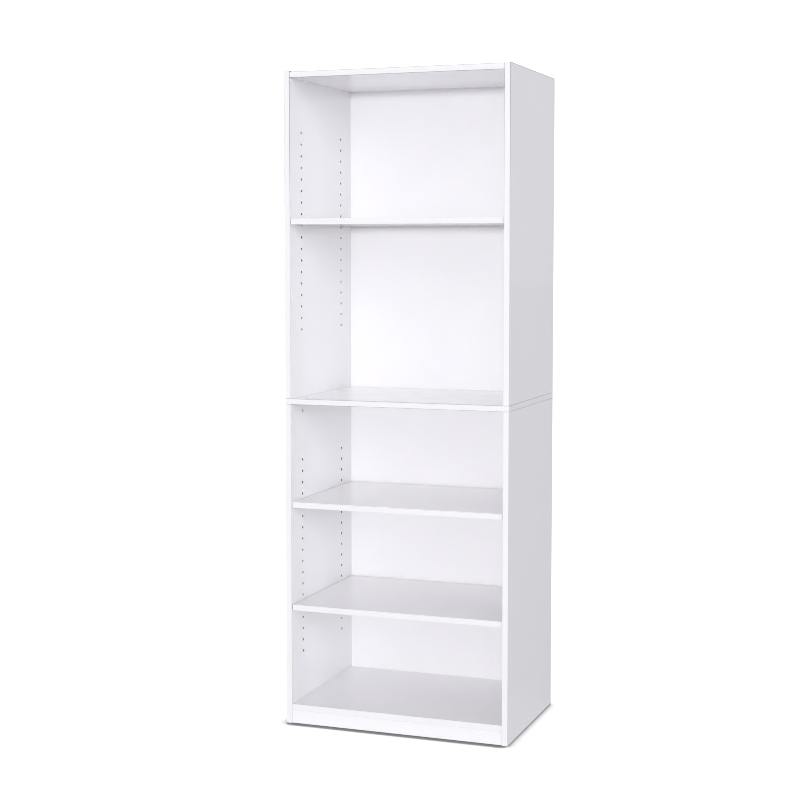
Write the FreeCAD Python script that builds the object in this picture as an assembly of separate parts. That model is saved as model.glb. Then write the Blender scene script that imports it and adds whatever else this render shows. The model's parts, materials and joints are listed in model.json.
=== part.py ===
import FreeCAD, Part
import os
from FreeCAD import Vector

# Free-standing bookcase: a lower case and an upper case share one full-width middle shelf.
# Millimetres, +Z up, +X to the right and -Y to the front. The origin is on the floor, under
# the middle of the whole depth, which includes the back panels.

# Overall size
WIDTH = 641.0
HEIGHT = 1803.0
SIDE_DEPTH = 445.0
BACK_THICKNESS = 3.0
BOARD = 16.0
BAND = 1.0
TOP_INSET = 2.0
BOTTOM_SHELF_TOP = 54.0
KICK_FLOOR_GAP = 1.0
INNER_SETBACK = 1.0

# Adjustable shelves and the rows of holes that hold their pins
HOLE_PITCH = 32.0
HOLES_IN_ROW = 18
FIRST_HOLE_HEIGHT = 187.5
ROW_SPACING = 288.0
PIN_HOLE_RADIUS = 2.5
PIN_HOLE_DEPTH = 10.0
SHELF_END_GAP = 1.5
SHELF_SETBACK = 4.0
SHELF_BACK_GAP = 3.0

# Edges
ARRIS = 0.3
BAND_ROUND = 0.6

# Pins: a round stem with a flat, round-ended blade under the shelf
PIN_STEM_RADIUS = 2.45
PIN_STEM_LENGTH = 9.0
BLADE_LENGTH = 13.0
BLADE_WIDTH = 10.0
BLADE_THICKNESS = 1.8
COLLAR_RADIUS = 4.6
COLLAR_THICKNESS = 1.2
RIB_THICKNESS = 1.6

# Cam locks and their bolts
CAM_RADIUS = 7.5
CAM_HEIGHT = 12.3
CAM_POCKET_DEPTH = 12.5
CAM_SETBACK = 24.0
CAM_SINK = 0.2
CAM_PLAY = 0.1
CAM_SLOT = 7.2
CROSS_LENGTH = 7.5
CROSS_WIDTH = 1.6
CROSS_DEPTH = 2.6
BOLT_THREAD_RADIUS = 2.5
BOLT_THREAD_LENGTH = 11.0
BOLT_SHAFT_RADIUS = 3.5
BOLT_NECK_RADIUS = 1.8
BOLT_HEAD_RADIUS = 3.2
BOLT_HEAD_LENGTH = 3.5
BOLT_EDGE_HOLE_RADIUS = 4.0

# Dowels
DOWEL_RADIUS = 4.0
DOWEL_IN_FACE = 10.0
DOWEL_IN_EDGE = 20.0
DOWEL_CHAMFER = 1.0
DOWEL_PLAY = 0.05
HOLE_OVERRUN = 1.0

# Joining screws, up through the middle shelf into the upper sides
SCREW_HEAD_RADIUS = 5.0
SCREW_HEAD_LENGTH = 1.5
SCREW_CONE_LENGTH = 3.0
SCREW_SHANK_RADIUS = 3.5
SCREW_THREAD_RADIUS = 3.2
SCREW_LENGTH = 50.0
SCREW_TIP_LENGTH = 4.0
SCREW_SOCKET = 4.0
SCREW_PLAY = 0.1

# Back panels and their nails
BACK_SIDE_INSET = 1.5
BACK_TOP_INSET = 1.0
BACK_JOINT_GAP = 1.0
BACK_BOTTOM = 40.0
NAIL_RADIUS = 0.7
NAIL_LENGTH = 20.0
NAIL_HEAD_RADIUS = 2.0
NAIL_HEAD_THICKNESS = 0.8
NAIL_EDGE_DISTANCE = 4.0
NAILS_UP_SIDE = 7
NAILS_ALONG_SHELF = 4

# Worked out from the above
TOTAL_DEPTH = SIDE_DEPTH + BACK_THICKNESS
FRONT = -TOTAL_DEPTH / 2
CASE_BACK = FRONT + SIDE_DEPTH
OUTSIDE = WIDTH / 2
INSIDE = OUTSIDE - BOARD
SIDE_MIDDLE = OUTSIDE - BOARD / 2
SIDE_HEIGHT = (HEIGHT - BOARD) / 2
MIDDLE_TOP = SIDE_HEIGHT + BOARD
TOP_UNDERSIDE = HEIGHT - TOP_INSET - BOARD
BOTTOM_UNDERSIDE = BOTTOM_SHELF_TOP - BOARD
KICK_MIDDLE = FRONT + INNER_SETBACK + BOARD / 2
ROW_SETBACK = (SIDE_DEPTH - ROW_SPACING) / 2
ROWS_Y = (FRONT + ROW_SETBACK, FRONT + ROW_SETBACK + ROW_SPACING)
CASE_BASES = {"lower": 0.0, "upper": MIDDLE_TOP}

# Each adjustable shelf: the case it stands in and the hole, counted up from the lowest
SHELVES = {"top": ("upper", 9), "mid": ("lower", 13), "low": ("lower", 4)}

SIDES = {"left": -1, "right": 1}
X = Vector(1, 0, 0)
Y = Vector(0, 1, 0)
Z = Vector(0, 0, 1)


def shelf_height(shelf):
    """Height of an adjustable shelf's underside, which is level with the tops of its pins."""
    case, hole = SHELVES[shelf]
    return CASE_BASES[case] + FIRST_HOLE_HEIGHT + hole * HOLE_PITCH + PIN_STEM_RADIUS


# ---------------------------------------------------------------- basic solids

def block(low, high):
    """Box between two opposite corners."""
    size = Vector(*high) - Vector(*low)
    return Part.makeBox(size.x, size.y, size.z, Vector(*low))


def board(low, high):
    """Chipboard panel whose arrises are broken by a small chamfer."""
    panel = block(low, high)
    return panel.makeChamfer(ARRIS, panel.Edges)


def edge_band(low, high, outward):
    """Edge strip, rounded along the edges of the face that looks outward."""
    strip = block(low, high)
    far_side = max(vertex.Point.dot(outward) for vertex in strip.Vertexes)
    outer = [edge for edge in strip.Edges if abs(edge.CenterOfMass.dot(outward) - far_side) < 1e-6]
    return strip.makeFillet(BAND_ROUND, outer)


def rod(radius, start, direction, length):
    """Round bar from start along direction."""
    return Part.makeCylinder(radius, length, start, direction)


def turned(profile, start, direction):
    """Solid of revolution: profile is a list of (distance along direction, radius)."""
    points = [Vector(radius, 0, along) for along, radius in profile]
    points = [Vector(0, 0, profile[0][0])] + points + [Vector(0, 0, profile[-1][0])]
    outline = Part.makePolygon(points + points[:1])
    solid = Part.Face(outline).revolve(Vector(0, 0, 0), Z, 360)
    solid.Placement = FreeCAD.Placement(start, FreeCAD.Rotation(Z, direction))
    return solid


def group(solids):
    """Several identical pieces that share one node."""
    return Part.makeCompound(solids)


# ---------------------------------------------------------------- cam joints

def cam_frame(joint):
    """Placement of a cam joint: local +X runs into the cam's board, +Z out of its open face."""
    origin, inward, opening = joint
    rotation = FreeCAD.Rotation(inward, opening.cross(inward), opening, "XZY")
    return FreeCAD.Placement(origin, rotation)


def placed(solid, joint):
    solid.Placement = cam_frame(joint).multiply(solid.Placement)
    return solid


def cam_lock(joint):
    """Round cam housing with a cross recess in its face and a slot for the bolt's head."""
    face = BOARD / 2 - CAM_SINK
    body = rod(CAM_RADIUS, Vector(CAM_SETBACK, 0, face - CAM_HEIGHT), Z, CAM_HEIGHT)
    half = CAM_SLOT / 2
    slot = block((CAM_SETBACK - 2 * CAM_RADIUS, -half, -half), (CAM_SETBACK + half, half, half))
    arm = CROSS_LENGTH / 2
    thin = CROSS_WIDTH / 2
    floor = face - CROSS_DEPTH
    cross_a = block((CAM_SETBACK - arm, -thin, floor), (CAM_SETBACK + arm, thin, face + 1))
    cross_b = block((CAM_SETBACK - thin, -arm, floor), (CAM_SETBACK + thin, arm, face + 1))
    return placed(body.cut([slot, cross_a, cross_b]), joint)


def cam_bolt(joint):
    """Bolt screwed into the neighbouring board, with a necked head inside the cam."""
    pocket_edge = CAM_SETBACK - CAM_RADIUS - CAM_PLAY
    head_start = CAM_SETBACK + 1 - BOLT_HEAD_LENGTH
    profile = [
        (-BOLT_THREAD_LENGTH, BOLT_THREAD_RADIUS - 0.8),
        (-BOLT_THREAD_LENGTH + 0.8, BOLT_THREAD_RADIUS),
        (0, BOLT_THREAD_RADIUS),
        (0, BOLT_SHAFT_RADIUS),
        (pocket_edge, BOLT_SHAFT_RADIUS),
        (pocket_edge, BOLT_NECK_RADIUS),
        (head_start, BOLT_NECK_RADIUS),
        (head_start + 1, BOLT_HEAD_RADIUS),
        (head_start + BOLT_HEAD_LENGTH, BOLT_HEAD_RADIUS),
    ]
    return placed(turned(profile, Vector(0, 0, 0), X), joint)


def cam_board_holes(joint):
    """Pocket for the cam and the edge hole that the bolt passes through."""
    bottom = BOARD / 2 - CAM_POCKET_DEPTH
    pocket = rod(CAM_RADIUS + CAM_PLAY, Vector(CAM_SETBACK, 0, bottom), Z, CAM_POCKET_DEPTH + 1)
    bore = rod(BOLT_EDGE_HOLE_RADIUS, Vector(-1, 0, 0), X, CAM_SETBACK + 1)
    return placed(pocket.fuse(bore), joint)


def bolt_hole(joint):
    """Hole that the bolt's thread screws into, in the neighbouring board."""
    depth = BOLT_THREAD_LENGTH + 0.5
    return placed(rod(BOLT_THREAD_RADIUS, Vector(-depth, 0, 0), X, depth + 1), joint)


def joints_into_sides(height, opening, ys):
    """Cam joints from both sides' inner faces into the ends of a panel at this height."""
    return [
        (Vector(sign * INSIDE, y, height), X * -sign, opening)
        for sign in SIDES.values()
        for y in ys
    ]


TOP_CAMS = joints_into_sides(TOP_UNDERSIDE + BOARD / 2, Z, ROWS_Y)
BOTTOM_CAMS = joints_into_sides(BOTTOM_UNDERSIDE + BOARD / 2, Z * -1, ROWS_Y)
KICK_CAM_HEIGHT = BOTTOM_UNDERSIDE - 12.0
KICK_CAMS = joints_into_sides(KICK_CAM_HEIGHT, Y, [KICK_MIDDLE])
MIDDLE_CAMS = [
    (Vector(sign * SIDE_MIDDLE, y, SIDE_HEIGHT), Z * -1, X * -sign)
    for sign in SIDES.values()
    for y in ROWS_Y
]


# ---------------------------------------------------------------- dowels and screws

def dowel(joint):
    """Beech dowel: its short end is in the face of one board, its long end in the other's edge."""
    start, direction = joint
    profile = [
        (-DOWEL_IN_FACE, DOWEL_RADIUS - DOWEL_CHAMFER),
        (-DOWEL_IN_FACE + DOWEL_CHAMFER, DOWEL_RADIUS),
        (DOWEL_IN_EDGE - DOWEL_CHAMFER, DOWEL_RADIUS),
        (DOWEL_IN_EDGE, DOWEL_RADIUS - DOWEL_CHAMFER),
    ]
    return turned(profile, start, direction)


def dowel_hole(joint):
    """Hole for a dowel, a little deeper than it at both ends."""
    start, direction = joint
    length = DOWEL_IN_FACE + DOWEL_IN_EDGE + 2 * HOLE_OVERRUN
    mouth = start - direction * (DOWEL_IN_FACE + HOLE_OVERRUN)
    return rod(DOWEL_RADIUS + DOWEL_PLAY, mouth, direction, length)


def dowels_into_sides(height, ys):
    return [(Vector(sign * INSIDE, y, height), X * -sign) for sign in SIDES.values() for y in ys]


def dowels_across_middle(height, direction, ys):
    return [(Vector(sign * SIDE_MIDDLE, y, height), direction) for sign in SIDES.values() for y in ys]


INNER_YS = (ROWS_Y[0] + HOLE_PITCH, ROWS_Y[1] - HOLE_PITCH)
OUTER_YS = (ROWS_Y[0] - HOLE_PITCH, ROWS_Y[1] + HOLE_PITCH)
SCREW_YS = (ROWS_Y[0] + 2 * HOLE_PITCH, ROWS_Y[1] - 2 * HOLE_PITCH)
KICK_DOWEL_HEIGHT = KICK_FLOOR_GAP + 8.0
KICK_DOWELS_X = (-180.0, 0.0, 180.0)

TOP_DOWELS = dowels_into_sides(TOP_UNDERSIDE + BOARD / 2, INNER_YS)
BOTTOM_DOWELS = dowels_into_sides(BOTTOM_UNDERSIDE + BOARD / 2, INNER_YS)
LOWER_DOWELS = dowels_across_middle(SIDE_HEIGHT, Z * -1, INNER_YS)
UPPER_DOWELS = dowels_across_middle(MIDDLE_TOP, Z, OUTER_YS)
KICK_END_DOWELS = dowels_into_sides(KICK_DOWEL_HEIGHT, [KICK_MIDDLE])
KICK_TOP_DOWELS = [(Vector(x, KICK_MIDDLE, BOTTOM_UNDERSIDE), Z * -1) for x in KICK_DOWELS_X]
SCREWS = [Vector(sign * SIDE_MIDDLE, y, SIDE_HEIGHT) for sign in SIDES.values() for y in SCREW_YS]


def joining_screw(head):
    """Countersunk panel screw with a hexagon socket, pointing up from its head."""
    profile = [
        (0, SCREW_HEAD_RADIUS),
        (SCREW_HEAD_LENGTH, SCREW_HEAD_RADIUS),
        (SCREW_HEAD_LENGTH + SCREW_CONE_LENGTH, SCREW_SHANK_RADIUS),
        (BOARD, SCREW_SHANK_RADIUS),
        (BOARD, SCREW_THREAD_RADIUS),
        (SCREW_LENGTH - SCREW_TIP_LENGTH, SCREW_THREAD_RADIUS),
        (SCREW_LENGTH, SCREW_THREAD_RADIUS / 3),
    ]
    corner = SCREW_SOCKET / 3 ** 0.5
    hexagon = Part.makePolygon([FreeCAD.Rotation(Z, 60 * i).multVec(X * corner) + head for i in range(7)])
    socket = Part.Face(hexagon).extrude(Z * SCREW_CONE_LENGTH)
    return turned(profile, head, Z).cut(socket)


def screw_hole_in_shelf(head):
    """Countersunk clearance hole through the middle shelf."""
    profile = [
        (-1, SCREW_HEAD_RADIUS + SCREW_PLAY),
        (SCREW_HEAD_LENGTH, SCREW_HEAD_RADIUS + SCREW_PLAY),
        (SCREW_HEAD_LENGTH + SCREW_CONE_LENGTH, SCREW_SHANK_RADIUS + SCREW_PLAY),
        (BOARD + 1, SCREW_SHANK_RADIUS + SCREW_PLAY),
    ]
    return turned(profile, head, Z)


def screw_hole_in_side(head):
    return rod(SCREW_THREAD_RADIUS, head, Z, SCREW_LENGTH + HOLE_OVERRUN)


# ---------------------------------------------------------------- fixed panels

def pin_holes(sign, base):
    """Two rows of blind holes in a side's inner face."""
    return [
        rod(PIN_HOLE_RADIUS, Vector(sign * (INSIDE - 1), y, base + FIRST_HOLE_HEIGHT + i * HOLE_PITCH),
            X * sign, PIN_HOLE_DEPTH + 1)
        for y in ROWS_Y
        for i in range(HOLES_IN_ROW)
    ]


def on_side(sign, joints):
    """Only the joints on one side of the bookcase."""
    return [joint for joint in joints if joint[0].x * sign > 0]


def side_board(sign, base):
    """Side panel behind its front edge band. All four have the same rows of pin holes."""
    top = HEIGHT - BAND if base else SIDE_HEIGHT
    x_low, x_high = sorted((sign * INSIDE, sign * OUTSIDE))
    return board((x_low, FRONT + BAND, base), (x_high, CASE_BACK, top))


def lower_side(sign):
    cuts = pin_holes(sign, 0.0)
    cuts += [bolt_hole(joint) for joint in on_side(sign, BOTTOM_CAMS + KICK_CAMS)]
    cuts += [cam_board_holes(joint) for joint in on_side(sign, MIDDLE_CAMS)]
    cuts += [dowel_hole(joint) for joint in on_side(sign, BOTTOM_DOWELS + LOWER_DOWELS + KICK_END_DOWELS)]
    return side_board(sign, 0.0).cut(cuts)


def upper_side(sign):
    cuts = pin_holes(sign, MIDDLE_TOP)
    cuts += [bolt_hole(joint) for joint in on_side(sign, TOP_CAMS)]
    cuts += [dowel_hole(joint) for joint in on_side(sign, TOP_DOWELS + UPPER_DOWELS)]
    cuts += [screw_hole_in_side(head) for head in SCREWS if head.x * sign > 0]
    return side_board(sign, MIDDLE_TOP).cut(cuts)


def panel_between_sides(low_z, high_z, cams, dowels):
    front = FRONT + INNER_SETBACK + BAND
    panel = board((-INSIDE, front, low_z), (INSIDE, CASE_BACK, high_z))
    return panel.cut([cam_board_holes(joint) for joint in cams] + [dowel_hole(joint) for joint in dowels])


def middle_shelf():
    end = OUTSIDE - BAND
    panel = board((-end, FRONT + BAND, SIDE_HEIGHT), (end, CASE_BACK, MIDDLE_TOP))
    cuts = [bolt_hole(joint) for joint in MIDDLE_CAMS]
    cuts += [dowel_hole(joint) for joint in LOWER_DOWELS + UPPER_DOWELS]
    cuts += [screw_hole_in_shelf(head) for head in SCREWS]
    return panel.cut(cuts)


def kick_plate():
    y = FRONT + INNER_SETBACK
    panel = board((-INSIDE, y, KICK_FLOOR_GAP), (INSIDE, y + BOARD, BOTTOM_UNDERSIDE))
    cuts = [cam_board_holes(joint) for joint in KICK_CAMS]
    cuts += [dowel_hole(joint) for joint in KICK_END_DOWELS + KICK_TOP_DOWELS]
    return panel.cut(cuts)


# ---------------------------------------------------------------- adjustable shelves

def adjustable_shelf(height):
    end = INSIDE - SHELF_END_GAP
    front = FRONT + SHELF_SETBACK + BAND
    return board((-end, front, height), (end, CASE_BACK - SHELF_BACK_GAP, height + BOARD))


def shelf_pin(sign, y, top):
    """Push-in pin: a round stem, and a flat blade on a rib. All of it is cut level at the top."""
    def along(distance, drop=0.0):
        return Vector(sign * (INSIDE - distance), y, top - drop)

    half = BLADE_WIDTH / 2
    straight = BLADE_LENGTH - half
    lowest = PIN_STEM_RADIUS + COLLAR_RADIUS
    stem = rod(PIN_STEM_RADIUS, along(-PIN_STEM_LENGTH, PIN_STEM_RADIUS), X * -sign, PIN_STEM_LENGTH)
    tip = [edge for edge in stem.Edges if abs(edge.CenterOfMass.x - along(-PIN_STEM_LENGTH).x) < 1e-6]
    stem = stem.makeChamfer(0.5, tip)
    collar = rod(COLLAR_RADIUS, along(0, PIN_STEM_RADIUS), X * -sign, COLLAR_THICKNESS)
    x_low, x_high = sorted((along(0).x, along(straight).x))
    blade = block((x_low, y - half, top - BLADE_THICKNESS), (x_high, y + half, top))
    blade = blade.fuse(rod(half, along(straight, BLADE_THICKNESS), Z, BLADE_THICKNESS))
    rib = Part.Face(Part.makePolygon([along(0), along(straight), along(0, lowest), along(0)]))
    rib = rib.extrude(Y * RIB_THICKNESS)
    rib.translate(Y * (-RIB_THICKNESS / 2))
    above = block((-OUTSIDE, y - BLADE_WIDTH, top), (OUTSIDE, y + BLADE_WIDTH, top + BLADE_WIDTH))
    return collar.fuse([blade, rib, stem]).cut(above).removeSplitter()


# ---------------------------------------------------------------- edge bands

def side_front_band(sign, base):
    x_low, x_high = sorted((sign * INSIDE, sign * OUTSIDE))
    return edge_band((x_low, FRONT, base), (x_high, FRONT + BAND, base + SIDE_HEIGHT), Y * -1)


def side_top_band(sign):
    x_low, x_high = sorted((sign * INSIDE, sign * OUTSIDE))
    return edge_band((x_low, FRONT + BAND, HEIGHT - BAND), (x_high, CASE_BACK, HEIGHT), Z)


def panel_front_band(half_length, front, height):
    low = (-half_length, front, height)
    return edge_band(low, (half_length, front + BAND, height + BOARD), Y * -1)


def middle_end_band(sign):
    x_low, x_high = sorted((sign * (OUTSIDE - BAND), sign * OUTSIDE))
    return edge_band((x_low, FRONT + BAND, SIDE_HEIGHT), (x_high, CASE_BACK, MIDDLE_TOP), X * sign)


# ---------------------------------------------------------------- back panels

def evenly(first, last, count):
    """Positions spread evenly from first to last."""
    return [first + (last - first) * i / (count - 1) for i in range(count)]


def nail_places(low_z, high_z):
    """Nails up both sides and along the panel's top and bottom edges."""
    rows = (low_z + NAIL_EDGE_DISTANCE, high_z - NAIL_EDGE_DISTANCE)
    up_sides = [(sign * SIDE_MIDDLE, z) for sign in SIDES.values() for z in evenly(*rows, NAILS_UP_SIDE)]
    inner = evenly(-SIDE_MIDDLE, SIDE_MIDDLE, NAILS_ALONG_SHELF + 2)[1:-1]
    along = [(x, z) for z in rows for x in inner]
    return [Vector(x, CASE_BACK + BACK_THICKNESS, z) for x, z in up_sides + along]


def nail(place):
    """Flat-headed nail driven in from behind, its head flush with the panel."""
    profile = [
        (0, NAIL_HEAD_RADIUS),
        (NAIL_HEAD_THICKNESS, NAIL_HEAD_RADIUS),
        (NAIL_HEAD_THICKNESS, NAIL_RADIUS),
        (NAIL_LENGTH - 2 * NAIL_RADIUS, NAIL_RADIUS),
        (NAIL_LENGTH, NAIL_RADIUS / 5),
    ]
    return turned(profile, place, Y * -1)


def back_panel(low_z, high_z):
    """Thin hardboard sheet, with a sunk seat and a hole for each nail."""
    half = OUTSIDE - BACK_SIDE_INSET
    sheet = board((-half, CASE_BACK, low_z), (half, CASE_BACK + BACK_THICKNESS, high_z))
    places = nail_places(low_z, high_z)
    seats = [rod(NAIL_HEAD_RADIUS, place + Y, Y * -1, NAIL_HEAD_THICKNESS + 1) for place in places]
    holes = [rod(NAIL_RADIUS, place + Y, Y * -1, BACK_THICKNESS + 2) for place in places]
    return sheet.cut(seats + holes)


BACK_JOINT = SIDE_HEIGHT + BOARD / 2
BACKS = {
    "lower": (BACK_BOTTOM, BACK_JOINT - BACK_JOINT_GAP / 2),
    "upper": (BACK_JOINT + BACK_JOINT_GAP / 2, HEIGHT - BACK_TOP_INSET),
}


# ---------------------------------------------------------------- the whole bookcase

def fixed_panels():
    nodes = {
        "top_panel": panel_between_sides(TOP_UNDERSIDE, TOP_UNDERSIDE + BOARD, TOP_CAMS, TOP_DOWELS),
        "middle_shelf": middle_shelf(),
        "bottom_shelf": panel_between_sides(
            BOTTOM_UNDERSIDE, BOTTOM_SHELF_TOP, BOTTOM_CAMS, BOTTOM_DOWELS + KICK_TOP_DOWELS),
        "kick_plate": kick_plate(),
    }
    for side, sign in SIDES.items():
        nodes[f"lower_side_{side}"] = lower_side(sign)
        nodes[f"upper_side_{side}"] = upper_side(sign)
    for case, span in BACKS.items():
        nodes[f"back_panel_{case}"] = back_panel(*span)
        nodes[f"back_nails_{case}"] = group([nail(place) for place in nail_places(*span)])
    return nodes


def shelves_and_pins():
    nodes = {}
    for shelf in SHELVES:
        height = shelf_height(shelf)
        nodes[f"adjustable_shelf_{shelf}"] = adjustable_shelf(height)
        nodes[f"shelf_band_{shelf}"] = panel_front_band(INSIDE - SHELF_END_GAP, FRONT + SHELF_SETBACK, height)
        for side, sign in SIDES.items():
            for row, y in zip(("front", "back"), ROWS_Y):
                nodes[f"pin_{shelf}_{row}_{side}"] = shelf_pin(sign, y, height)
    return nodes


def edge_bands():
    nodes = {
        "top_panel_band": panel_front_band(INSIDE, FRONT + INNER_SETBACK, TOP_UNDERSIDE),
        "middle_shelf_band": panel_front_band(OUTSIDE, FRONT, SIDE_HEIGHT),
        "bottom_shelf_band": panel_front_band(INSIDE, FRONT + INNER_SETBACK, BOTTOM_UNDERSIDE),
    }
    for side, sign in SIDES.items():
        nodes[f"middle_end_band_{side}"] = middle_end_band(sign)
        nodes[f"upper_side_top_band_{side}"] = side_top_band(sign)
        for case, base in CASE_BASES.items():
            nodes[f"{case}_side_band_{side}"] = side_front_band(sign, base)
    return nodes


def fittings():
    nodes = {"joining_screws": group([joining_screw(head) for head in SCREWS])}
    cams = {"top": TOP_CAMS, "middle": MIDDLE_CAMS, "bottom": BOTTOM_CAMS, "kick": KICK_CAMS}
    for place, joints in cams.items():
        nodes[f"cam_locks_{place}"] = group([cam_lock(joint) for joint in joints])
        nodes[f"cam_bolts_{place}"] = group([cam_bolt(joint) for joint in joints])
    dowels = {
        "top": TOP_DOWELS,
        "upper_case": UPPER_DOWELS,
        "lower_case": LOWER_DOWELS,
        "bottom": BOTTOM_DOWELS,
        "kick": KICK_END_DOWELS + KICK_TOP_DOWELS,
    }
    for place, joints in dowels.items():
        nodes[f"dowels_{place}"] = group([dowel(joint) for joint in joints])
    return nodes


def main():
    os.makedirs("parts", exist_ok=True)
    nodes = {**fixed_panels(), **shelves_and_pins(), **edge_bands(), **fittings()}
    for name, shape in nodes.items():
        shape.exportStep(f"parts/{name}.step")


main()
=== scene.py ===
import functools
import json
import math
import bpy
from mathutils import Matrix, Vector


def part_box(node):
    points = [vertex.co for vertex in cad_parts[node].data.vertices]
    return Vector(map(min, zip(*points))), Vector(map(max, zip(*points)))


# Looks of a white flat-pack bookcase: satin melamine boards with plastic edge bands, raw
# chipboard where a board is not covered, hardboard backs, metal fittings and beech dowels.
# All lengths are metres. Every pattern uses the row frame, so its scale is the real one.

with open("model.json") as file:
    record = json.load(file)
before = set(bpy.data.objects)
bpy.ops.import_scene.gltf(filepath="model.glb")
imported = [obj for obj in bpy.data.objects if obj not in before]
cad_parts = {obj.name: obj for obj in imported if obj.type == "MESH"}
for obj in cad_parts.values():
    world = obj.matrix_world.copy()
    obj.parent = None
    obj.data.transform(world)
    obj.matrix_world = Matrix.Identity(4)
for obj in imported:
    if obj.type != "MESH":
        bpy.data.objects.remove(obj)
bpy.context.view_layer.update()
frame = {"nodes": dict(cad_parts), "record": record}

NODES = frame["nodes"]
X = Vector((1, 0, 0))
Y = Vector((0, 1, 0))
Z = Vector((0, 0, 1))

# Sizes of the CAD model that the materials follow.
BOARD = 0.016
ARRIS = 0.0003
FACE_TOLERANCE = ARRIS / 3
HOLE_PITCH = 0.032
HOLES_IN_ROW = 18
LOWEST_HOLE = 0.1875
THREAD_PITCH = 0.0028

# Sizes of marks that only the materials have. The outlines fade between two heights.
# The rims round the pin holes are chipping darkened with painted shade.
CHIPPED_SHADE_RADIUS = 0.0034
CHIPPED_SHADE_SOFTNESS = 0.0002
EDGE_LINE_WIDTH = 0.0005
EDGE_LINE_SOFTNESS = 0.0004
RAGGEDNESS = 0.0002
OUTLINE_HEIGHTS = (1.3, 1.7)
FAINT_OUTLINE = 0.25
CONTACT_REACH = 0.035

# A normal's share along an axis: square to the face, and leaning half way to it.
SQUARE = 0.9
LEANING = 0.5

# Noise mostly lies between these two.
NOISE_LOW = 0.3
NOISE_HIGH = 0.7

WHITE = (1, 1, 1)

# Order of a board's materials. Only the side panels have the last two.
PAPERED, TRIMMED, RAW, DRILLED, RIMMED, OUTLINED = range(6)


# ---------------------------------------------------------------- node helpers

def new_material(name):
    """A material that holds only its shader and its output."""
    material = bpy.data.materials.new(name)
    material.use_nodes = True
    material.node_tree.nodes.clear()
    shader = material.node_tree.nodes.new("ShaderNodeBsdfPrincipled")
    output = material.node_tree.nodes.new("ShaderNodeOutputMaterial")
    material.node_tree.links.new(shader.outputs["BSDF"], output.inputs["Surface"])
    return material, shader


def add(shader, kind, inputs, **settings):
    """Adds a node beside the shader. An input's value is a number, a colour or another socket."""
    node = shader.id_data.nodes.new(kind)
    for name, value in settings.items():
        setattr(node, name, value)
    for name, value in inputs.items():
        if isinstance(value, bpy.types.NodeSocket):
            shader.id_data.links.new(value, node.inputs[name])
        else:
            node.inputs[name].default_value = value
    return node


def place(shader, stretch=(1, 1, 1)):
    """Row-frame position, scaled by stretch to draw a pattern out along one axis."""
    where = add(shader, "ShaderNodeTexCoord", {})
    return add(shader, "ShaderNodeMapping", {"Vector": where.outputs["Object"], "Scale": stretch}).outputs[0]


def noise(shader, grain, stretch=(1, 1, 1), detail=3.0, distortion=0.0):
    """Noise whose blotches are about one grain across."""
    inputs = {
        "Vector": place(shader, stretch),
        "Scale": 1 / grain,
        "Detail": detail,
        "Distortion": distortion,
    }
    return add(shader, "ShaderNodeTexNoise", inputs).outputs["Fac"]


def cells(shader, grain, stretch=(1, 1, 1)):
    """A random grey for each of many cells, about one grain across."""
    inputs = {"Vector": place(shader, stretch), "Scale": 1 / grain}
    cell = add(shader, "ShaderNodeTexVoronoi", inputs)
    return add(shader, "ShaderNodeSeparateColor", {"Color": cell.outputs["Color"]}).outputs[0]


def grey(level):
    """A colour with no tint."""
    return (level, level, level)


def ramp(shader, amount, stops):
    """Colour ramp from a list of (position, colour)."""
    node = add(shader, "ShaderNodeValToRGB", {"Fac": amount})
    elements = node.color_ramp.elements
    while len(elements) < len(stops):
        elements.new(0.5)
    for element, (position, colour) in zip(elements, stops):
        element.position = position
        element.color = (*colour, 1)
    return node.outputs["Color"]


def two_tone(shader, pattern, low, high):
    """Runs from one colour to another over the range where noise mostly lies."""
    return ramp(shader, pattern, [(NOISE_LOW, low), (NOISE_HIGH, high)])


def map_range(shader, value, start, end, low, high):
    """Maps a value from start-end to low-high, and keeps it in there."""
    inputs = {"Value": value, "From Min": start, "From Max": end, "To Min": low, "To Max": high}
    return add(shader, "ShaderNodeMapRange", inputs).outputs["Result"]


def between(shader, pattern, low, high):
    """Maps the range where noise mostly lies to low-high."""
    return map_range(shader, pattern, NOISE_LOW, NOISE_HIGH, low, high)


def fade(shader, distance, reach, softness):
    """Falls from 1 to 0 over a softness, beyond a reach."""
    return map_range(shader, distance, reach, reach + softness, 1, 0)


def mixed(shader, amount, first, second, blend="MIX"):
    """Mixes two colours. An amount of 0 gives the first."""
    inputs = {"Factor": amount}
    node = add(shader, "ShaderNodeMix", inputs, data_type="RGBA", blend_type=blend)
    for socket, colour in ((node.inputs[6], first), (node.inputs[7], second)):
        if isinstance(colour, bpy.types.NodeSocket):
            shader.id_data.links.new(colour, socket)
        else:
            socket.default_value = (*colour, 1)
    return node.outputs[2]


def shaded(shader, colour, shade):
    """Multiplies a colour by a shade."""
    return mixed(shader, 1.0, colour, shade, "MULTIPLY")


def maths(shader, operation, first, second=0.0):
    """Result of one operation on two numbers or sockets."""
    return add(shader, "ShaderNodeMath", {0: first, 1: second}, operation=operation).outputs[0]


def bump(shader, height, depth, below=None):
    """Bump of a real depth, laid over another bump if one is given."""
    inputs = {"Height": height, "Distance": depth, "Strength": 1.0}
    if below is not None:
        inputs["Normal"] = below
    return add(shader, "ShaderNodeBump", inputs).outputs["Normal"]


def finish_shader(shader, colour, roughness, normal):
    """Joins a material's patterns to its shader."""
    links = shader.id_data.links
    links.new(colour, shader.inputs["Base Color"])
    links.new(roughness, shader.inputs["Roughness"])
    links.new(normal, shader.inputs["Normal"])


# ---------------------------------------------------------------- boards

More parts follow.
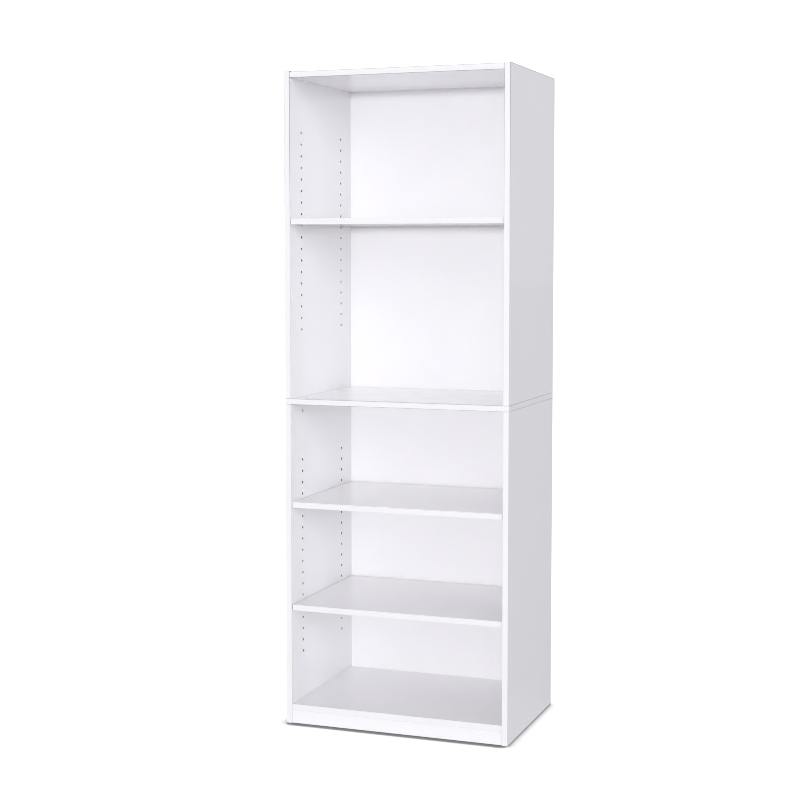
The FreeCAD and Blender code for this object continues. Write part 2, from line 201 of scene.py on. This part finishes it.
def pin_hole_distance(shader, lowest):
    """Distance from the axis of the nearest pin hole, where the two rows start at height lowest."""
    rows = next(mount for mount in frame["record"]["mounts"] if mount["kind"] == "bolt_pattern")
    middle = rows["pos_m"][1]
    half = rows["dims"]["spacing_x_mm"] / 1000 / 2
    where = add(shader, "ShaderNodeSeparateXYZ", {"Vector": place(shader)})
    off_middle = maths(shader, "ABSOLUTE", maths(shader, "SUBTRACT", where.outputs["Y"], middle))
    across = maths(shader, "SUBTRACT", off_middle, half)
    height = maths(shader, "SUBTRACT", where.outputs["Z"], lowest)
    count = maths(shader, "ROUND", maths(shader, "DIVIDE", height, HOLE_PITCH))
    nearest = maths(shader, "MINIMUM", maths(shader, "MAXIMUM", count, 0), HOLES_IN_ROW - 1)
    along = maths(shader, "SUBTRACT", height, maths(shader, "MULTIPLY", nearest, HOLE_PITCH))
    offset = add(shader, "ShaderNodeCombineXYZ", {"X": across, "Y": along}).outputs[0]
    return add(shader, "ShaderNodeVectorMath", {0: offset}, operation="LENGTH").outputs["Value"]


def chipped_and_shaded_rims(shader, colour, lowest):
    """A ragged near-black ring round each pin hole: paper chipping from the drill, darkened with painted
    shade so the hole looks wider and darker.
    """
    ragged = between(shader, noise(shader, 0.0009), -RAGGEDNESS, RAGGEDNESS)
    distance = maths(shader, "ADD", pin_hole_distance(shader, lowest), ragged)
    chipping_and_shade = fade(shader, distance, CHIPPED_SHADE_RADIUS, CHIPPED_SHADE_SOFTNESS)
    # Painted shade: the ring takes the near-black of the hole's shadow rather than the tan of the core.
    return mixed(shader, chipping_and_shade, colour, (0.05, 0.038, 0.03))


def melamine(name, lowest_hole=None):
    """Satin white melamine paper: a fine pearl texture, faint clouding and handling smudges.

    Given the height of its lowest pin holes, it gets a ring of paper chipping and painted shade round each
    of them.
    """
    material, shader = new_material(name)
    clouds = noise(shader, 0.22, detail=4.0)
    colour = two_tone(shader, clouds, (0.947, 0.942, 0.953), (0.959, 0.954, 0.965))
    flecks = ramp(shader, noise(shader, 0.0022, detail=2.0), [(0.3, grey(0.965)), (0.5, WHITE)])
    colour = shaded(shader, colour, flecks)
    if lowest_hole is not None:
        colour = chipped_and_shaded_rims(shader, colour, lowest_hole)
    smudges = between(shader, noise(shader, 0.09), 0.07, 0.11)
    pearl = bump(shader, noise(shader, 0.0007, detail=2.0), 0.000003)
    finish_shader(shader, colour, smudges, pearl)
    return material


def trimmed_arris():
    """Trimmed arris of a board: the paper is cut through, and scuffed in places."""
    material, shader = new_material("trimmed_arris")
    wear = noise(shader, 0.012, detail=6.0)
    colour = ramp(shader, wear, [(0.35, (0.8, 0.79, 0.79)), (0.62, (0.62, 0.6, 0.57))])
    roughness = between(shader, wear, 0.4, 0.7)
    finish_shader(shader, colour, roughness, bump(shader, noise(shader, 0.0004), 0.00003))
    return material


def outline_strength(shader):
    """How dark the sides' outlines are at a height: fully near the top, and faint lower down."""
    height = add(shader, "ShaderNodeSeparateXYZ", {"Vector": place(shader)}).outputs["Z"]
    return map_range(shader, height, *OUTLINE_HEIGHTS, FAINT_OUTLINE, 1)


def front_outline():
    """Front arris of a side panel: a dark line along it, darkest near the top and faint lower down."""
    material, shader = new_material("front_outline")
    wear = noise(shader, 0.012, detail=6.0)
    plain_arris_tone = ramp(shader, wear, [(0.35, (0.8, 0.79, 0.79)), (0.62, (0.68, 0.66, 0.64))])
    dark_line_tone = ramp(shader, wear, [(0.35, (0.3, 0.285, 0.275)), (0.62, (0.18, 0.165, 0.155))])
    colour = mixed(shader, outline_strength(shader), plain_arris_tone, dark_line_tone)
    roughness = between(shader, wear, 0.4, 0.7)
    finish_shader(shader, colour, roughness, bump(shader, noise(shader, 0.0004), 0.00003))
    return material


def painted_shade_hole_wall():
    """Wall of a drilled hole: chipboard with torn fibres, painted near-black as the shade deep in the hole.
    """
    material, shader = new_material("painted_shade_hole_wall")
    fibres = noise(shader, 0.0006, detail=5.0)
    # Painted shade: a near-black colour stands for the shadow inside the hole.
    colour = two_tone(shader, fibres, (0.012, 0.009, 0.007), (0.035, 0.026, 0.02))
    roughness = between(shader, fibres, 0.85, 1.0)
    finish_shader(shader, colour, roughness, bump(shader, fibres, 0.0001))
    return material


def chipboard():
    """Raw chipboard core: pressed chips of many tans, coarser towards dark glue."""
    material, shader = new_material("chipboard_core")
    chips = cells(shader, 0.0016)
    tans = [
        (0.0, (0.33, 0.22, 0.13)),
        (0.35, (0.52, 0.38, 0.24)),
        (0.7, (0.62, 0.48, 0.32)),
        (1.0, (0.74, 0.61, 0.43)),
    ]
    colour = mixed(shader, 0.35, ramp(shader, chips, tans), ramp(shader, noise(shader, 0.0005), tans))
    roughness = between(shader, noise(shader, 0.002), 0.75, 0.95)
    finish_shader(shader, colour, roughness, bump(shader, chips, 0.0001))
    return material


def dark_edge_lines(shader, colour, along, across):
    """Dark lines along both long edges of a band.

    Those of an upright band fade towards the floor.
    """
    share = add(shader, "ShaderNodeTexCoord", {}).outputs["Generated"]
    where = add(shader, "ShaderNodeSeparateXYZ", {"Vector": share}).outputs[across]
    off_middle = maths(shader, "ABSOLUTE", maths(shader, "SUBTRACT", where, 0.5))
    inset = maths(shader, "MULTIPLY", maths(shader, "SUBTRACT", 0.5, off_middle), BOARD)
    ragged = between(shader, noise(shader, 0.004), -RAGGEDNESS, RAGGEDNESS)
    depth = maths(shader, "ADD", inset, ragged)
    edge_line_darkness = fade(shader, depth, EDGE_LINE_WIDTH, EDGE_LINE_SOFTNESS)
    if along == "Z":
        edge_line_darkness = maths(shader, "MULTIPLY", edge_line_darkness, outline_strength(shader))
    return mixed(shader, edge_line_darkness, colour, (0.25, 0.24, 0.24))


@functools.cache
def band_plastic(along, across, outlined):
    """Satin plastic edge band with faint draw lines along its length, outlined by dark edge lines or not.

    Along and across are the names of the axes of its length and width.
    """
    name = f"edge_band_{along}{across}".lower()
    material, shader = new_material(name + "_outlined" if outlined else name)
    stretch = [0.02 if axis == along else 1 for axis in "XYZ"]
    lines = noise(shader, 0.0009, stretch, detail=4.0)
    colour = two_tone(shader, lines, (0.895, 0.89, 0.90), (0.92, 0.915, 0.925))
    if outlined:
        colour = dark_edge_lines(shader, colour, along, across)
    scuffs = between(shader, noise(shader, 0.02, detail=6.0), 0.3, 0.42)
    finish_shader(shader, colour, scuffs, bump(shader, lines, 0.00001))
    return material


def hardboard_face():
    """White lacquer rolled on hardboard: soft orange peel and a faint fibre show-through."""
    material, shader = new_material("hardboard_white")
    clouds = noise(shader, 0.12, detail=5.0)
    colour = two_tone(shader, clouds, (0.915, 0.912, 0.93), (0.93, 0.927, 0.943))
    fibres = noise(shader, 0.0012, (0.25, 1, 1), detail=4.0)
    show_through = ramp(shader, fibres, [(0.3, grey(0.97)), (0.55, WHITE)])
    colour = shaded(shader, colour, show_through)
    gloss = between(shader, noise(shader, 0.05), 0.34, 0.46)
    peel = bump(shader, noise(shader, 0.0025, detail=2.0), 0.00003)
    finish_shader(shader, colour, gloss, peel)
    return material


def hardboard_rear():
    """Brown rear and edges of hardboard, with the imprint of the wire screen it was pressed on."""
    material, shader = new_material("hardboard_brown")
    browns = [(0.3, (0.20, 0.11, 0.055)), (0.5, (0.29, 0.17, 0.09)), (0.7, (0.37, 0.23, 0.13))]
    colour = ramp(shader, noise(shader, 0.0015, detail=8.0), browns)
    clouds = two_tone(shader, noise(shader, 0.15, detail=4.0), grey(0.82), WHITE)
    colour = shaded(shader, colour, clouds)
    roughness = between(shader, noise(shader, 0.004), 0.6, 0.85)
    screen = None
    for axis in ("X", "Z"):
        inputs = {"Vector": place(shader), "Scale": 150.0, "Distortion": 0.4, "Detail": 1.0}
        wires = add(shader, "ShaderNodeTexWave", inputs, bands_direction=axis)
        screen = bump(shader, wires.outputs["Fac"], 0.00012, screen)
    finish_shader(shader, colour, roughness, screen)
    return material


# ---------------------------------------------------------------- fittings

def metal(name, tint, roughness, grain, depth, recess_shade_reach=0.0):
    """Plated or cast metal: mottled plating, a grainy skin and fine handling scratches.

    A painted shade darkens recesses about as narrow as the recess shade reach.
    """
    material, shader = new_material(name)
    shader.inputs["Metallic"].default_value = 1.0
    darker = tuple(0.82 * channel for channel in tint)
    colour = ramp(shader, noise(shader, 8 * grain, detail=4.0), [(0.3, darker), (0.6, tint)])
    # Painted shade: occluded recesses, such as a cam's cross slot, are darkened as if in shadow.
    if recess_shade_reach:
        recess = add(shader, "ShaderNodeAmbientOcclusion", {"Distance": recess_shade_reach}, samples=8)
        painted_recess_shade = ramp(shader, recess.outputs["AO"], [(0.6, grey(0.01)), (0.93, WHITE)])
        colour = shaded(shader, colour, painted_recess_shade)
    gloss = between(shader, noise(shader, 3 * grain, detail=5.0), roughness - 0.07, roughness + 0.1)
    scratches = noise(shader, grain, (1, 12, 1))
    skin = bump(shader, noise(shader, grain), depth)
    finish_shader(shader, colour, gloss, bump(shader, scratches, depth / 2, skin))
    return material


def threaded_steel():
    """Bright zinc plate with ridges a thread pitch apart, whichever axis a screw lies along."""
    material, shader = new_material("zinc_plated_steel")
    shader.inputs["Metallic"].default_value = 1.0
    plate = noise(shader, 0.004, detail=4.0)
    colour = ramp(shader, plate, [(0.3, (0.52, 0.54, 0.58)), (0.65, (0.70, 0.71, 0.73))])
    inputs = {"Vector": place(shader), "Scale": 0.5 / THREAD_PITCH}
    ridges = add(shader, "ShaderNodeTexWave", inputs, bands_direction="DIAGONAL", wave_profile="TRI")
    gloss = between(shader, plate, 0.22, 0.36)
    finish_shader(shader, colour, gloss, bump(shader, ridges.outputs["Fac"], 0.0002))
    return material


def beech():
    """Raw turned beech: pale pinkish tan with short dark flecks."""
    material, shader = new_material("beech")
    tans = [(0.3, (0.50, 0.33, 0.19)), (0.5, (0.66, 0.47, 0.29)), (0.7, (0.76, 0.58, 0.39))]
    colour = ramp(shader, noise(shader, 0.0015, detail=5.0, distortion=0.8), tans)
    flecks = ramp(shader, cells(shader, 0.0008, (0.3, 1, 0.3)), [(0.06, grey(0.7)), (0.12, WHITE)])
    colour = shaded(shader, colour, flecks)
    roughness = between(shader, noise(shader, 0.001), 0.55, 0.75)
    finish_shader(shader, colour, roughness, bump(shader, flecks, 0.00005))
    return material


# ---------------------------------------------------------------- putting materials on

def thin_axis(low, high):
    """The axis along which a box is thinnest."""
    return min((X, Y, Z), key=lambda axis: (high - low).dot(axis))


def axes_by_length(low, high):
    """Names of a box's axes, the longest first."""
    size = dict(zip("XYZ", high - low))
    return sorted(size, key=size.get, reverse=True)


def depth_inside(point, low, high, axis):
    """How far a point is from the nearer of a box's two faces across an axis."""
    return min(abs(point.dot(axis) - low.dot(axis)), abs(point.dot(axis) - high.dot(axis)))


def board_part(polygon, low, high):
    """Which part of a board a polygon belongs to: a papered face, an arris, an edge or a hole."""
    axis = thin_axis(low, high)
    edge_axes = [other for other in (X, Y, Z) if other != axis]
    slope = abs(polygon.normal.dot(axis))
    if slope > SQUARE and depth_inside(polygon.center, low, high, axis) < FACE_TOLERANCE:
        return PAPERED
    if min(depth_inside(polygon.center, low, high, other) for other in edge_axes) > ARRIS:
        return DRILLED
    return TRIMMED if slope > LEANING else RAW


def paint_all(node, material):
    """The whole node is of one material."""
    node.data.materials.append(material)


def paint_board(node, face, arris, core, drilled):
    """The two wide faces are papered, the arrises trimmed, the edges raw, and the walls of holes painted
    near-black as their shade.
    """
    low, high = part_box(node.name)
    for material in (face, arris, core, drilled):
        node.data.materials.append(material)
    for polygon in node.data.polygons:
        polygon.material_index = board_part(polygon, low, high)


def paint_side(node, face, arris, core, drilled, rimmed, outline):
    """A side panel: a board with rims of chipping and painted shade round the holes on its inner face, and a
    dark outline in front.
    """
    paint_board(node, face, arris, core, drilled)
    node.data.materials.append(rimmed)
    node.data.materials.append(outline)
    for polygon in node.data.polygons:
        if polygon.material_index == PAPERED and polygon.normal.x * polygon.center.x < 0:
            polygon.material_index = RIMMED
        elif polygon.material_index == TRIMMED and polygon.normal.y < -LEANING:
            polygon.material_index = OUTLINED


def paint_back(node, front, rear):
    """Lacquer on the side that faces into the bookcase, brown everywhere else."""
    node.data.materials.append(front)
    node.data.materials.append(rear)
    for polygon in node.data.polygons:
        polygon.material_index = 0 if polygon.normal.y < -SQUARE else 1


def paint_band(node):
    """Dark edge lines outline the bands of fixed panels, but not those of the loose shelves or the bottom.
    """
    along, across, _ = axes_by_length(*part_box(node.name))
    outlined = not node.name.startswith(("shelf_", "bottom_"))
    paint_all(node, band_plastic(along, across, outlined))


def board_painters():
    """A function that paints a board, for plain panels and for the sides of each case."""
    board = {
        "face": melamine("white_melamine"),
        "arris": trimmed_arris(),
        "core": chipboard(),
        "drilled": painted_shade_hole_wall(),
    }
    painters = {"panel": functools.partial(paint_board, **board)}
    outline = front_outline()
    for case in ("lower", "upper"):
        lowest_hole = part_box(f"{case}_side_left")[0].z + LOWEST_HOLE
        rimmed = melamine(f"white_melamine_{case}_holes", lowest_hole)
        painters[case] = functools.partial(paint_side, **board, rimmed=rimmed, outline=outline)
    return painters


def fitting_materials():
    """The material of each material slot that holds only fittings."""
    return {
        "pin_steel": metal("nickel_plate", (0.74, 0.73, 0.71), 0.26, 0.0006, 0.000006),
        # The cast zinc gets painted shade in its recesses.
        "cam_zinc": metal("cast_zinc", (0.88, 0.88, 0.9), 0.42, 0.0004, 0.00002, recess_shade_reach=0.004),
        "zinc_plated_steel": threaded_steel(),
        "nail_steel": metal("nail_steel", (0.52, 0.52, 0.53), 0.38, 0.0005, 0.00002),
        "beech": beech(),
    }


def paint():
    """Gives every CAD node its material."""
    painters = board_painters()
    lacquer, fibre = hardboard_face(), hardboard_rear()
    fittings = fitting_materials()
    for row in frame["record"]["subparts"]:
        name, slot = row["node"], row["material_slot"]
        node = NODES[name]
        node.data.materials.clear()
        if slot == "white_melamine_board":
            case = name.split("_")[0] if "_side_" in name else "panel"
            painters[case](node)
        elif slot == "white_hardboard":
            paint_back(node, lacquer, fibre)
        elif slot == "white_edge_band":
            paint_band(node)
        else:
            paint_all(node, fittings[slot])


# ---------------------------------------------------------------- studio

def contact_shade(shader):
    """Grey of the thin shade round what stands on the floor, and white further off.

    It searches mostly towards the rear, so the shade is widest in front.
    """
    lean = Vector((-0.15, 1.6, 1.0)).normalized()
    toward = add(shader, "ShaderNodeCombineXYZ", {"X": lean.x, "Y": lean.y, "Z": lean.z}).outputs[0]
    inputs = {"Distance": CONTACT_REACH, "Normal": toward}
    openness = add(shader, "ShaderNodeAmbientOcclusion", inputs, samples=24).outputs["AO"]
    shades = [(0.35, 0.12), (0.62, 0.15), (0.67, 0.43), (0.72, 0.59), (0.79, 0.7), (0.9, 0.78), (1.0, 1.0)]
    return ramp(shader, openness, [(amount, grey(level)) for amount, level in shades])


def floor_material():
    """White seamless paper, overexposed for the camera and dark close under what stands on it."""
    material, shader = new_material("studio_floor")
    grain = two_tone(shader, noise(shader, 0.003), grey(0.72), grey(0.74))
    seen = add(shader, "ShaderNodeLightPath", {}).outputs["Is Camera Ray"]
    shade = contact_shade(shader)
    roughness = between(shader, noise(shader, 0.01), 0.7, 0.8)
    colour = mixed(shader, seen, grain, shaded(shader, grain, shade))
    finish_shader(shader, colour, roughness, bump(shader, noise(shader, 0.001), 0.00002))
    shader.id_data.links.new(shade, shader.inputs["Emission Color"])
    glow = map_range(shader, seen, 0, 1, 0, 0.8)
    shader.id_data.links.new(glow, shader.inputs["Emission Strength"])
    return material


def floor():
    """A sheet of seamless paper, far wider than the view."""
    half = 60.0
    mesh = bpy.data.meshes.new("floor")
    corners = [(-half, -half, 0), (half, -half, 0), (half, half, 0), (-half, half, 0)]
    mesh.from_pydata(corners, [], [(0, 1, 2, 3)])
    mesh.materials.append(floor_material())
    sheet = bpy.data.objects.new("floor", mesh)
    bpy.context.scene.collection.objects.link(sheet)


def direction(azimuth, elevation):
    """Unit vector towards an azimuth, 0 for the front and 90 for the right, and an elevation."""
    a = math.radians(azimuth)
    e = math.radians(elevation)
    return Vector((math.sin(a) * math.cos(e), -math.cos(a) * math.cos(e), math.sin(e)))


def look_back(thing, toward):
    """Turns a light or camera that lies in a direction so that it looks back along it."""
    thing.rotation_euler = toward.to_track_quat("Z", "Y").to_euler()


def soft_light(name, azimuth, elevation, strength, spread):
    """Distant light, as wide as a large softbox, spread degrees across."""
    lamp = bpy.data.lights.new(name, "SUN")
    lamp.energy = strength
    lamp.angle = math.radians(spread)
    light = bpy.data.objects.new(name, lamp)
    look_back(light, direction(azimuth, elevation))
    bpy.context.scene.collection.objects.link(light)
    return light


def surroundings(strength, seen):
    """White room. It lights the bookcase at its strength, and the camera sees it brighter."""
    world = bpy.data.worlds.new("studio")
    bpy.context.scene.world = world
    world.use_nodes = True
    tree = world.node_tree
    tree.nodes.clear()
    path = tree.nodes.new("ShaderNodeLightPath")
    level = tree.nodes.new("ShaderNodeMapRange")
    background = tree.nodes.new("ShaderNodeBackground")
    output = tree.nodes.new("ShaderNodeOutputWorld")
    level.inputs["To Min"].default_value = strength
    level.inputs["To Max"].default_value = seen
    background.inputs["Color"].default_value = (0.975, 0.965, 1.0, 1)
    tree.links.new(path.outputs["Is Camera Ray"], level.inputs["Value"])
    tree.links.new(level.outputs["Result"], background.inputs["Strength"])
    tree.links.new(background.outputs["Background"], output.inputs["Surface"])


def camera():
    """Camera a little above the middle, turned to the right side of the bookcase."""
    aim = Vector((0, -0.18, 0.9987))
    toward = direction(azimuth=20.245, elevation=4.065)
    distance = 4.406
    lens = bpy.data.cameras.new("camera")
    lens.lens = 73.14
    lens.sensor_width = 36.0
    lens.shift_y = -0.04
    view = bpy.data.objects.new("camera", lens)
    view.location = aim + toward * distance
    look_back(view, toward)
    bpy.context.scene.collection.objects.link(view)
    bpy.context.scene.camera = view


def studio():
    """Floor, light, camera and the render settings that the look depends on."""
    floor()
    surroundings(strength=0.55, seen=1.2)
    soft_light("front_light", azimuth=3, elevation=1.5, strength=1.08, spread=4)
    soft_light("high_light", azimuth=15, elevation=22, strength=0.22, spread=24)
    side = soft_light("side_light", azimuth=60, elevation=6, strength=1.12, spread=28)
    side.data.color = (0.945, 0.935, 1)
    side.visible_glossy = False
    camera()
    bpy.context.scene.view_settings.view_transform = "Standard"
    bpy.context.scene.cycles.diffuse_bounces = 10
    bpy.context.scene.cycles.filter_width = 1.0


paint()
studio()
